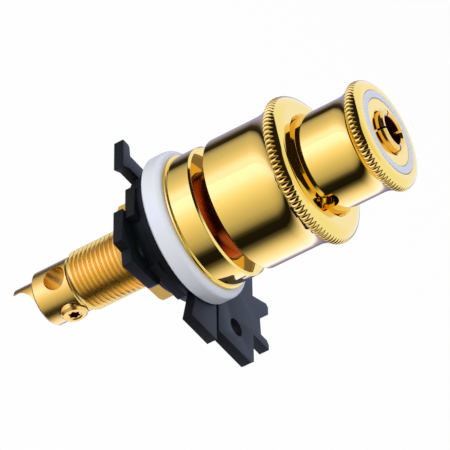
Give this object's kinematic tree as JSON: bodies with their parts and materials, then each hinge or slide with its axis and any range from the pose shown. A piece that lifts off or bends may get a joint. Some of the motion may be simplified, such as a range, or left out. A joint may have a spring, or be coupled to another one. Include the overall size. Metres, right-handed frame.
{
  "type": "binding post",
  "caption": "Panel-mounted terminal post with a knurled clamp knob over a flange, a plug socket with its own collet knob, stacked insulating plates, and a threaded tail with a solder cup.",
  "frame": {"origin": "on the post's axis, at the rear face of the white washer", "axes": "+Z along the post towards the plug socket; X and Y along the straight edges of the plates, with the front plate's arm towards +X and -Y"},
  "size_m": [0.0315, 0.0262, 0.0615],
  "materials": {
    "gold": "polished gold plate over brass",
    "nut_gold": "gold-plated, turned",
    "collet_gold": "gold-plated copper alloy, slotted",
    "white_plastic": "satin white insulating plastic",
    "black_plastic": "moulded, fine satin grain"
  },
  "bodies": {
    "base": {"post": "gold", "front_washer": "white_plastic", "front_plate": "black_plastic", "middle_plate": "black_plastic"},
    "rear_clamp": {"rear_plate": "black_plastic"},
    "nut": {"mounting_nut": "nut_gold"},
    "pressure": {"pressure_ring": "gold"},
    "clamp": {"clamp_knob": "gold"},
    "collet_set": {"collet": "collet_gold", "face_ring": "gold", "slip_ring": "white_plastic"},
    "tightener": {"collet_knob": "gold"},
    "screw": {"set_screw": "nut_gold"}
  },
  "joints": [
    {"name": "rear_plate_slide", "type": "slide", "parent": "base", "child": "rear_clamp", "axis": [0, 0, -1], "range_m": [0, 0.005]},
    {"name": "nut_turn", "type": "hinge", "parent": "rear_clamp", "child": "nut", "pos_m": [0, 0, -0.006], "axis": [0, 0, -1], "range_deg": [-1, 2401]},
    {"name": "pressure_slide", "type": "slide", "parent": "base", "child": "pressure", "axis": [0, 0, 1], "range_m": [-0.0019, 0.0046]},
    {"name": "clamp_turn", "type": "hinge", "parent": "pressure", "child": "clamp", "pos_m": [0, 0, 0.015], "axis": [0, 0, 1], "range_deg": [-685, 1657]},
    {"name": "collet_slide", "type": "slide", "parent": "base", "child": "collet_set", "axis": [0, 0, 1], "range_m": [-0.0012, 0.001]},
    {"name": "collet_turn", "type": "hinge", "parent": "collet_set", "child": "tightener", "pos_m": [0, 0, 0.028], "axis": [0, 0, 1], "range_deg": [-577, 481]},
    {"name": "set_screw_slide", "type": "slide", "parent": "base", "child": "screw", "axis": [-0.2672, 0.9636, 0], "range_m": [0, 0.0018]}
  ],
  "couplings": [
    {"joint": "nut_turn", "follows": "rear_plate_slide", "rad_per_m": 8377.6},
    {"joint": "clamp_turn", "follows": "pressure_slide", "rad_per_m": 6283.2},
    {"joint": "collet_turn", "follows": "collet_slide", "rad_per_m": 8377.6}
  ]
}
